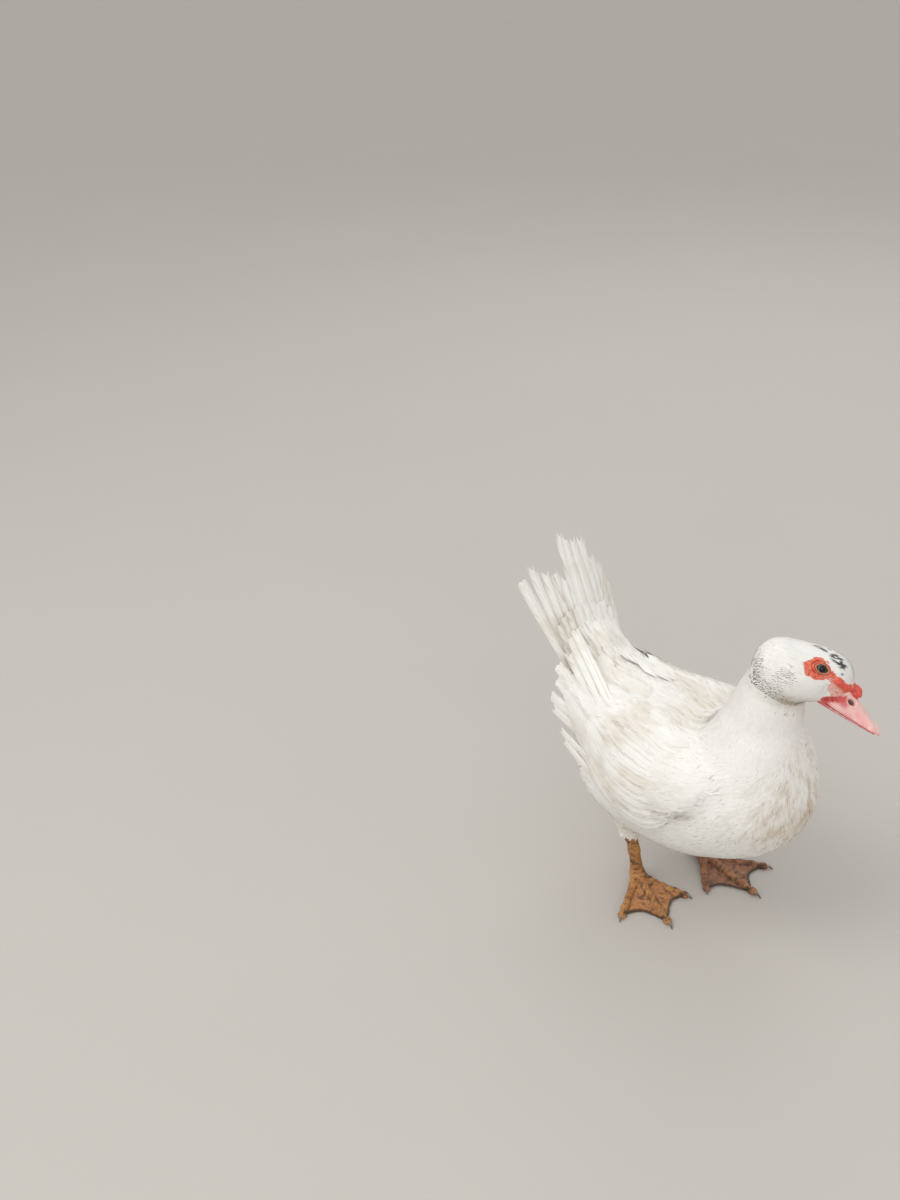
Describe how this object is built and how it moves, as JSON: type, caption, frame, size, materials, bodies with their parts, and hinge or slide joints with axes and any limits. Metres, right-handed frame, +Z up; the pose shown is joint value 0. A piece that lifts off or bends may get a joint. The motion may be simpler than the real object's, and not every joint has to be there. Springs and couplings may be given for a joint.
{
  "type": "muscovy duck model",
  "caption": "Life-size standing white muscovy hen, with its tail cocked up and its head turned to its left.",
  "frame": {"origin": "on the floor, under the middle of the duck's bounding box", "axes": "+X the way the duck's body faces, +Y to its left, +Z up"},
  "size_m": [0.3738, 0.1842, 0.3439],
  "materials": {
    "white_plumage": "white feathers, a little soiled, matt",
    "bill_horn": "pink horn, satin",
    "red_face_skin": "bare red skin, bumpy",
    "eye_surface": "wet, glossy",
    "leg_skin": "orange-brown scaled skin, dirty"
  },
  "bodies": {
    "root": {"trunk": "white_plumage", "neck": "white_plumage", "head": "white_plumage", "bill_upper": "bill_horn", "bill_lower": "bill_horn", "caruncle": "red_face_skin", "eye_right": "eye_surface", "eye_left": "eye_surface", "wing_right": "white_plumage", "wing_left": "white_plumage", "tail": "white_plumage", "thigh_right": "white_plumage", "thigh_left": "white_plumage", "leg_right": "leg_skin", "leg_left": "leg_skin", "foot_right": "leg_skin", "foot_left": "leg_skin"}
  },
  "joints": []
}
